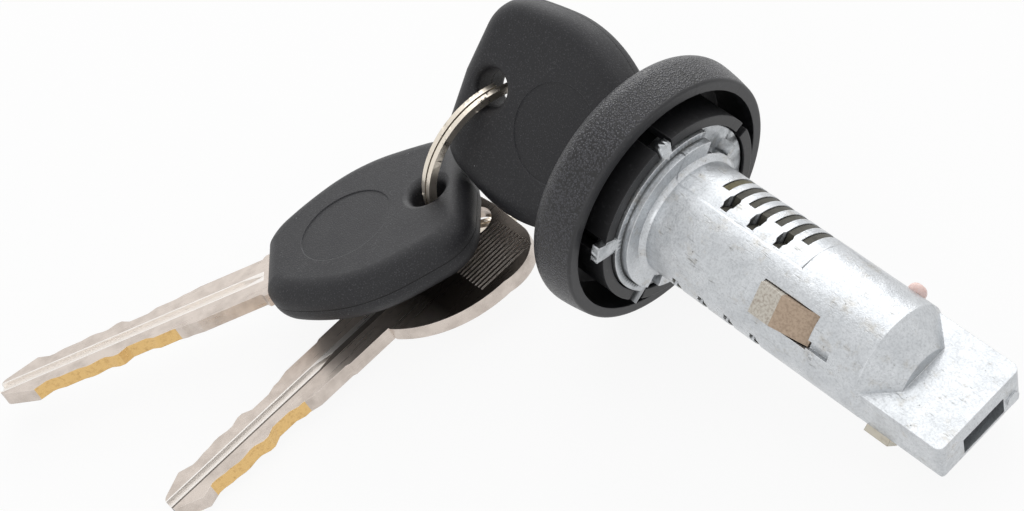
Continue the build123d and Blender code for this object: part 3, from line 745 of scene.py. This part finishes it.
@dataclass(frozen=True)
class PlainMetal:
    """Stamped, turned or drawn metal with fine working lines and rubbed edges.

    Attributes:
        name: Material name.
        colour: Main colour.
        stain: Colour of oil and oxide stains.
        roughness: Roughness of the clean metal.
        stained: Share of the surface that is stained, from 0 to 1.
        line_mm: Spacing of the working lines.
        stain_mm: Size of the stains.
        metallic: How metallic the surface is under its film of oil or oxide.
        crest: Colour ahead of the crest's end along the lock, where it differs, painted as the
            crest's light; the main colour then stands for the ramp's shade.
        crest_end: Where the crest ends along the lock.
        edge_mm: Radius to which the edges look rounded.
    """

    name: str
    colour: str
    stain: str
    roughness: float = 0.3
    stained: float = 0.4
    line_mm: float = 0.18
    stain_mm: float = 2.0
    metallic: float = 0.95
    crest: str | None = None
    crest_end: float = 23.0
    edge_mm: float = 0.08

    def build(self, placement: Placement) -> bpy.types.Material:
        """Build the material.

        Args:
            placement: Frame of the part.

        Returns:
            The finished material.
        """
        surface = Surface(self.name, placement)
        rounded, rubbed = surface.edges(self.edge_mm)
        clouds = surface.add(
            "TexNoise", {"Scale": 1 / self.stain_mm, "Detail": 6.0, "Roughness": 0.65}
        )
        stains = surface.add(
            "MapRange", (clouds, 0.75 - 0.5 * self.stained, 0.95 - 0.4 * self.stained)
        )
        # Painted light and shade: ahead of its end the crest takes the paler colour, and the ramp
        # beyond keeps the darker main colour
        ahead = surface.add("Math", (surface.x, self.crest_end), operation="LESS_THAN")
        colour = surface.paint(
            self.colour,
            (ahead, 1, self.crest or self.colour),
            (stains, 0.7, self.stain),
            (rubbed, 0.3, RUBBED_METAL),
        )
        lines = surface.add("Mapping", {"Vector": surface.place, "Scale": (0.1, 1.0, 1.0)})
        worked = surface.add(
            "TexNoise", {"Vector": lines, "Scale": 1 / self.line_mm, "Detail": 3.0}
        )
        values = {
            "Base Color": colour,
            "Metallic": self.metallic,
            "Roughness": surface.add(
                "MapRange", (clouds, 0.0, 1.0, self.roughness, self.roughness + 0.2)
            ),
        }
        return surface.finish(values, worked, 0.3, 0.04, rounded)


@dataclass(frozen=True)
class Nylon:
    """Moulded nylon of the plunger and the pad, slightly translucent.

    Attributes:
        name: Material name.
        colour: Colour of the nylon.
        grime: Colour of the grime it has taken up.
        grain_mm: Size of the uneven tone.
        edge_mm: Radius to which the edges look rounded.
    """

    name: str
    colour: str
    grime: str
    grain_mm: float = 0.7143
    edge_mm: float = 0.2

    def build(self, placement: Placement) -> bpy.types.Material:
        """Build the material.

        Args:
            placement: Frame of the lock.

        Returns:
            The finished material.
        """
        surface = Surface(self.name, placement)
        rounded, rubbed = surface.edges(self.edge_mm)
        clouds = surface.add("TexNoise", {"Scale": 1 / self.grain_mm, "Detail": 4.0})
        dirty = surface.add("MapRange", (clouds, 0.5, 0.8))
        grubby = surface.add("Math", (dirty, rubbed), operation="MAXIMUM")
        values = {
            "Base Color": surface.paint(self.colour, (grubby, 0.6, self.grime)),
            "Roughness": 0.45,
            "Subsurface Weight": 0.15,
            "Subsurface Radius": (0.001, 0.0008, 0.0006),
        }
        return surface.finish(values, clouds, 0.3, 0.05, rounded)


class Stock(Enum):
    """Plain metals and nylons the small parts are made of."""

    CAP_STEEL = PlainMetal("brushed_cap_steel", "#b9babc", "#8f8f8f", 0.28, 0.3)
    SPRING_STEEL = PlainMetal("drawn_spring_steel", "#8d8d90", "#5d5a55", 0.3, 0.4)
    # Painted shade: the wafers' brass is dark olive for the shade in their slots, and the first
    # wafer's paler copy is painted light
    SLOT_SHADED_WAFER_BRASS = PlainMetal("slot_shaded_wafer_brass", "#45433a", "#201f19", 0.45, 0.5, 0.12, 1.1, 0.35)
    LIT_FIRST_WAFER_BRASS = PlainMetal("lit_first_wafer_brass", "#5d573c", "#2d2a1c", 0.4, 0.5, 0.12, 1.1, 0.45)
    # Its main colour is the ramp's painted shade, and the last colour the painted light on the
    # crest
    CATCH_BRONZE = PlainMetal(
        "sintered_catch_bronze", "#b7a38f", "#8b7766", 0.5, 0.6, 0.1, 0.35, 0.45, "#cfcac0"
    )
    RING_NICKEL = PlainMetal("bright_ring_nickel", "#e6ddcf", "#b0a391", 0.2, 0.4, 0.9, 2.2)
    PLUNGER_NYLON = Nylon("pink_plunger_nylon", "#efd3cc", "#d4b3a9")
    PAD_NYLON = Nylon("cream_pad_nylon", "#e6dfcf", "#b9ae97")

    def build(self) -> bpy.types.Material:
        """Build this stock's material in the lock's frame."""
        return self.value.build(LOCK)


def dress_nodes(
    nodes: dict[str, bpy.types.Object], names: list[str], material: bpy.types.Material
) -> None:
    """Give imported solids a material.

    Args:
        nodes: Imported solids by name.
        names: The solids to dress.
        material: Their material.
    """
    for name in names:
        node = nodes[name]
        node.data.materials.clear()
        node.data.materials.append(material)
        LOG.info("%s wears %s", name, material.name)


def turn(
    angle: float, letter: str, centre: tuple[float, float, float] = (0.0, 0.0, 0.0)
) -> None:
    """Turn the selected corners by the right hand rule; the operator's own sign is the other one.

    Args:
        angle: Angle in radians.
        letter: Global axis, X, Y or Z.
        centre: Point that stays, in metres.
    """
    bpy.ops.transform.rotate(value=-angle, orient_axis=letter, center_override=centre)


def copy_solid(node: bpy.types.Object, name: str) -> bpy.types.Object:
    """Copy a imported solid, merge its doubled corners and leave it in edit mode.

    Args:
        node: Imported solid.
        name: Name of the copy.

    Returns:
        The copy, at the origin, with nothing selected.
    """
    mesh = node.data.copy()
    mesh.transform(node.matrix_world)
    piece = bpy.data.objects.new(name, mesh)
    bpy.context.scene.collection.objects.link(piece)
    bpy.ops.object.select_all(action="DESELECT")
    bpy.context.view_layer.objects.active = piece
    piece.select_set(True)
    bpy.ops.object.mode_set(mode="EDIT")
    bpy.ops.mesh.select_all(action="SELECT")
    bpy.ops.mesh.remove_doubles(threshold=MERGE_DISTANCE)
    bpy.ops.mesh.normals_make_consistent(inside=False)
    bpy.ops.mesh.select_all(action="DESELECT")
    return piece


def finish_piece(piece: bpy.types.Object, body: str, material: bpy.types.Material) -> None:
    """Leave edit mode, smooth shallow angles, dress the piece and let it ride on its body.

    Args:
        piece: The piece.
        body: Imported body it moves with.
        material: Its material.
    """
    bpy.ops.object.mode_set(mode="OBJECT")
    bpy.ops.object.shade_smooth_by_angle(angle=SMOOTH_ANGLE)
    piece.data.materials.clear()
    piece.data.materials.append(material)
    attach(piece, body)
    LOG.info("%s rides on %s", piece.name, body)


@dataclass
class LockBarrel:
    """The turning barrel with its cap, wafers, catch, plunger and pad.

    Attributes:
        wafer_count: Number of wafers.
        root_radius_mm: Radius of the barrel at its root.
        root_reach_mm: How far the hollow ring reaches out and along the barrel.
        root_steps: Number of bands in the ring's hollow.
        root_sides: Number of corners around the ring.
        root_sink_mm: How far the ring stands in the flange.
    """

    wafer_count: int = 7
    root_radius_mm: float = 8.66
    root_reach_mm: float = 0.95
    root_steps: int = 8
    root_sides: int = 128
    root_sink_mm: float = 0.03

    def make_root(self, material: bpy.types.Material) -> None:
        """Model the soft hollow ring that the casting has where its barrel meets the flange.

        Args:
            material: The barrel's material.
        """
        bpy.ops.object.select_all(action="DESELECT")
        radius = self.root_radius_mm + self.root_reach_mm
        bpy.ops.mesh.primitive_circle_add(vertices=self.root_sides, radius=radius * MM)
        piece = bpy.context.object
        piece.name = "barrel_root_ring"
        bpy.ops.object.mode_set(mode="EDIT")
        bpy.ops.mesh.select_all(action="SELECT")
        bpy.ops.transform.translate(value=(0.0, 0.0, -self.root_sink_mm * MM))
        height = 0.0
        for step in range(1, self.root_steps + 1):
            angle = math.radians(90) * step / self.root_steps
            new_radius = self.root_radius_mm + self.root_reach_mm * (1 - math.sin(angle))
            new_height = self.root_reach_mm * (1 - math.cos(angle))
            bpy.ops.mesh.extrude_edges_move(
                TRANSFORM_OT_translate={"value": (0.0, 0.0, (new_height - height) * MM)}
            )
            share = new_radius / radius
            bpy.ops.transform.resize(value=(share, share, 1.0), center_override=(0.0, 0.0, 0.0))
            radius, height = new_radius, new_height
        bpy.ops.mesh.extrude_edges_move(
            TRANSFORM_OT_translate={"value": (0.0, 0.0, -(height + self.root_sink_mm) * MM)}
        )
        bpy.ops.mesh.select_all(action="DESELECT")
        bpy.ops.mesh.select_non_manifold()
        bpy.ops.mesh.bridge_edge_loops()
        bpy.ops.mesh.select_all(action="SELECT")
        bpy.ops.mesh.normals_make_consistent(inside=False)
        turn(math.radians(90 + LOCK_TILT), "Y")
        finish_piece(piece, "barrel", material)

    def dress(self, nodes: dict[str, bpy.types.Object]) -> None:
        """Dress the barrel and all that turns with it.

        Args:
            nodes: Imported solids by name.
        """
        zinc = CastZinc().build(LOCK)
        dress_nodes(nodes, ["barrel"], zinc)
        self.make_root(zinc)
        wafers = [f"wafer_{number}" for number in range(2, self.wafer_count + 1)]
        springs = ["wafer_springs", "catch_spring", "plunger_spring", "shutter_spring"]
        for stock, names in (
            (Stock.SLOT_SHADED_WAFER_BRASS, wafers),
            (Stock.LIT_FIRST_WAFER_BRASS, ["wafer_1"]),
            (Stock.CAP_STEEL, ["face_cap", "keyway_shutter", "shutter_pin"]),
            (Stock.SPRING_STEEL, springs),
            (Stock.CATCH_BRONZE, ["retaining_catch"]),
            (Stock.PLUNGER_NYLON, ["warning_plunger"]),
            (Stock.PAD_NYLON, ["tail_pad"]),
        ):
            dress_nodes(nodes, names, stock.build())


@dataclass
class Bezel:
    """The round bezel and the zinc collar held in its clip arcs.

    Angles are in degrees about the lock's axis, from +Z towards +Y.

    Attributes:
        tab_angle: Middle of the straight bar.
        tab_half_angle: Half of the bar's width.
        neck_half_angle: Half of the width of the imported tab's neck.
        head_angle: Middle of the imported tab's arc.
        head_half_angle: Half of that arc's width.
        head_inner_mm: Radius where that arc begins.
        neck_inner_mm: Radius where the neck begins.
        tab_from_x: Rear of the tab along the lock's axis.
        tab_to_x: Front of the tab along the lock's axis.
        slack: Slack of these angles and radii, in degrees and millimetres.
        merge_mm: Distance under which corners become one after the move.
    """

    tab_angle: float = -67.0
    tab_half_angle: float = 4.6
    neck_half_angle: float = 3.0
    head_angle: float = -64.5
    head_half_angle: float = 8.5
    head_inner_mm: float = 14.8
    neck_inner_mm: float = 12.75
    tab_from_x: float = -2.5
    tab_to_x: float = -1.1
    slack: float = 0.1
    merge_mm: float = 0.02

    def bar_angle(self, place: Vector) -> float | None:
        """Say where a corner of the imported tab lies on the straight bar.

        Args:
            place: Corner in the lock's frame, in millimetres.

        Returns:
            Its new angle about the lock's axis, or nothing for other corners.
        """
        angle = math.degrees(math.atan2(place.y, place.z))
        radius = math.hypot(place.y, place.z)
        within = abs(angle - self.head_angle) <= self.head_half_angle + self.slack
        if not within or not self.tab_from_x < place.x < self.tab_to_x:
            return None
        side = math.copysign(self.tab_half_angle, angle - self.tab_angle)
        if radius > self.head_inner_mm + self.slack:
            share = self.tab_half_angle / self.head_half_angle
            return self.tab_angle + (angle - self.head_angle) * share
        if radius > self.head_inner_mm - self.slack:
            return self.tab_angle + side
        inside = abs(angle - self.tab_angle) < self.neck_half_angle + self.slack
        if abs(radius - self.neck_inner_mm) < self.slack / 2 and inside:
            share = self.tab_half_angle / self.neck_half_angle
            return self.tab_angle + (angle - self.tab_angle) * share
        return None

    def make_collar(self, node: bpy.types.Object, material: bpy.types.Material) -> None:
        """Model the collar again, with its long tab as one straight bar.

        Args:
            node: The collar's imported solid.
            material: The collar's material.
        """
        piece = copy_solid(node, "collar_with_bar")
        tilt = math.radians(LOCK_TILT)
        bpy.ops.mesh.select_all(action="SELECT")
        turn(-tilt, "Y")
        bpy.ops.mesh.select_all(action="DESELECT")
        bpy.ops.object.mode_set(mode="OBJECT")
        moves: dict[tuple[float, float], list[int]] = {}
        for vertex in piece.data.vertices:
            angle = math.degrees(math.atan2(vertex.co.y, vertex.co.z))
            target = self.bar_angle(vertex.co / MM)
            if target is not None:
                moves.setdefault((round(angle, 1), round(target, 1)), []).append(vertex.index)
        for (angle, target), corners in moves.items():
            for vertex in piece.data.vertices:
                vertex.select = vertex.index in corners
            bpy.ops.object.mode_set(mode="EDIT")
            # These angles run from +Z to +Y, against the right hand rule about X
            turn(math.radians(angle - target), "X")
            bpy.ops.mesh.select_all(action="DESELECT")
            bpy.ops.object.mode_set(mode="OBJECT")
        bpy.ops.object.mode_set(mode="EDIT")
        bpy.ops.mesh.select_all(action="SELECT")
        bpy.ops.mesh.remove_doubles(threshold=self.merge_mm * MM)
        bpy.ops.mesh.normals_make_consistent(inside=False)
        turn(tilt, "Y")
        finish_piece(piece, "bezel", material)
        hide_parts("collar_ring")

    def dress(self, nodes: dict[str, bpy.types.Object]) -> None:
        """Dress the bezel and the collar.

        Args:
            nodes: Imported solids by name.
        """
        dress_nodes(nodes, ["bezel"], GrainedPlastic().build(LOCK))
        collar = CastZinc(
            name="collar_zinc", pale="#bfc2c5", dull="#8d9194", roughness=0.24, step_width=0.0
        )
        zinc = collar.build(LOCK)
        dress_nodes(nodes, ["collar_ring"], zinc)
        self.make_collar(nodes["collar_ring"], zinc)


@dataclass
class KeyBunch:
    """The three keys and the split ring that joins them.

    Attributes:
        ring_centre_mm: Centre of the ring.
        ring_axis: Direction of the ring's axis.
        ring_turn: Turn of the ring about its axis, in degrees.
    """

    ring_centre_mm: tuple[float, float, float] = (-36.59, -4.65, -3.75)
    ring_axis: tuple[float, float, float] = (0.985, -0.125, -0.121)
    ring_turn: float = -16.0

    def make_ring(self, node: bpy.types.Object, material: bpy.types.Material) -> None:
        """Model the split ring again, turned until its cut end hides in the first key's hole.

        Args:
            node: The ring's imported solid.
            material: The ring's material.
        """
        piece = copy_solid(node, "turned_split_ring")
        bpy.ops.mesh.select_all(action="SELECT")
        heading = math.atan2(self.ring_axis[1], self.ring_axis[0])
        dip = math.asin(-self.ring_axis[2])
        for letter, angle in (
            ("Z", -heading),
            ("Y", -dip),
            ("X", math.radians(self.ring_turn)),
            ("Y", dip),
            ("Z", heading),
        ):
            turn(angle, letter, Vector(self.ring_centre_mm) * MM)
        finish_piece(piece, "ring", material)
        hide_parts("split_ring")

    def dress(self, nodes: dict[str, bpy.types.Object]) -> None:
        """Dress the keys and the ring.

        Args:
            nodes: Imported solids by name.
        """
        for key, placement in (("key_1", KEY_1), ("key_2", KEY_2)):
            metal = KeyMetal(name=f"{key}_metal").build(placement)
            dress_nodes(nodes, [f"{key}_blade"], metal)
            plastic = HeadPlastic(name=f"{key}_head_plastic").build(placement)
            dress_nodes(nodes, [f"{key}_head_front", f"{key}_head_back"], plastic)
        spare = KeyMetal(
            name="spare_key_metal",
            cuts_from=36.4,
            cuts_to=54.3,
            groove_from=17.0,
            groove_shade="#6d6660",
            bow_reflection_to=16.0,
        )
        dress_nodes(nodes, ["spare_key"], spare.build(SPARE))
        nickel = Stock.RING_NICKEL.build()
        dress_nodes(nodes, ["split_ring"], nickel)
        self.make_ring(nodes["split_ring"], nickel)


@dataclass(frozen=True)
class Lamp:
    """A soft square lamp that faces the object.

    Attributes:
        name: Name of the lamp.
        place: Place in metres.
        size: Side in metres.
        power: Power in watts.
    """

    name: str
    place: tuple[float, float, float]
    size: float
    power: float

    def hang(self) -> None:
        """Add the lamp to the scene."""
        light = bpy.data.lights.new(self.name, "AREA")
        light.shape = "SQUARE"
        light.size = self.size
        light.energy = self.power
        lamp = bpy.data.objects.new(self.name, light)
        lamp.location = self.place
        lamp.rotation_euler = (-Vector(self.place)).to_track_quat("-Z", "Y").to_euler()
        bpy.context.scene.collection.objects.link(lamp)


@dataclass
class Studio:
    """White table, soft lamps and the camera at the photograph's angle.

    Attributes:
        camera_mm: Place of the camera.
        camera_turn: Turns of the camera about X, Y and Z, in degrees.
        lens_mm: Focal length.
        sensor_mm: Width of the camera's sensor.
        nearest: Nearest distance that the camera sees, in metres.
        table_size: Side of the table in metres.
        table_colour: Colour that the table gives back to the object.
        table_glow: How white the table looks to the camera.
        air_light: Light of the surroundings on matte surfaces.
        lamps: The lamps.
    """

    camera_mm: tuple[float, float, float] = (219.704, -118.359, 248.326)
    camera_turn: tuple[float, float, float] = (42.642, 19.096, 47.564)
    lens_mm: float = 91.112
    sensor_mm: float = 36.0
    nearest: float = 0.01
    table_size: float = 3.0
    table_colour: str = "#f2f2f2"
    table_glow: float = 0.9
    air_light: float = 0.55
    lamps: tuple[Lamp, ...] = (
        Lamp("top_softbox", (-0.14, 0.36, 0.54), 0.8, 1.9),
        Lamp("side_softbox", (0.35, -0.55, 0.35), 0.4, 0.5),
        Lamp("back_softbox", (-0.45, 0.42, 0.20), 0.5, 1.6),
    )

    def background_rays(self, tree: bpy.types.NodeTree) -> bpy.types.Node:
        """Tell the rays that see the white background from those that light the object.

        Args:
            tree: Tree of the table's material or of the world.

        Returns:
            One for rays from the camera, from metal and through glass.
        """
        rays = add_node(tree, "LightPath").outputs
        shiny = (rays["Is Glossy Ray"], rays["Is Transmission Ray"])
        shiny = add_node(tree, "Math", shiny, operation="MAXIMUM")
        return add_node(tree, "Math", (rays["Is Camera Ray"], shiny), operation="MAXIMUM")

    def make_table(self, height: float) -> None:
        """Lay the pale table under the object.

        Args:
            height: Height of the table in metres.
        """
        bpy.ops.mesh.primitive_plane_add(size=self.table_size, location=(0, 0, height))
        table = bpy.context.object
        table.name = "table"
        material = bpy.data.materials.new("white_table")
        material.use_nodes = True
        tree = material.node_tree
        tree.nodes.clear()
        matt = add_node(tree, "BsdfDiffuse", {"Color": linear(self.table_colour)})
        glow = add_node(tree, "Emission", {"Color": linear(WHITE), "Strength": 1.0})
        seen = add_node(
            tree, "Math", (self.background_rays(tree), self.table_glow), operation="MULTIPLY"
        )
        mixed = add_node(tree, "MixShader", (seen, matt, glow))
        add_node(tree, "OutputMaterial", {"Surface": mixed})
        table.data.materials.append(material)
        table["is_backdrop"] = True

    def make_lamps(self) -> None:
        """Hang the soft lamps and light the surroundings evenly."""
        for lamp in self.lamps:
            lamp.hang()
        world = bpy.data.worlds.new("studio_air")
        bpy.context.scene.world = world
        world.use_nodes = True
        tree = world.node_tree
        tree.nodes.clear()
        strength = add_node(
            tree, "MapRange", (self.background_rays(tree), 0.0, 1.0, self.air_light, 1.0)
        )
        air = add_node(tree, "Background", {"Color": linear(WHITE), "Strength": strength})
        add_node(tree, "OutputWorld", {"Surface": air})

    def make_camera(self) -> None:
        """Set the camera at the photograph's viewing angle."""
        data = bpy.data.cameras.new("photo_camera")
        data.lens = self.lens_mm
        data.sensor_width = self.sensor_mm
        data.sensor_fit = "HORIZONTAL"
        data.clip_start = self.nearest
        camera = bpy.data.objects.new("photo_camera", data)
        pose = Placement(self.camera_mm, self.camera_turn)
        camera.location = pose.origin
        camera.rotation_euler = pose.turn
        bpy.context.scene.collection.objects.link(camera)
        bpy.context.scene.camera = camera


def main() -> None:
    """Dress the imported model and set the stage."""
    logging.basicConfig(level=logging.INFO, format="%(message)s")
    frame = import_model()
    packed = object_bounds()
    bpy.ops.object.select_all(action="DESELECT")
    bpy.context.scene.view_settings.view_transform = "Standard"
    studio = Studio()
    studio.make_camera()
    studio.make_lamps()
    for part in (LockBarrel(), Bezel(), KeyBunch()):
        part.dress(frame["nodes"])
        LOG.info("%s is dressed", type(part).__name__)
    studio.make_table(packed[0][2])


if __name__ == "__main__":
    main()
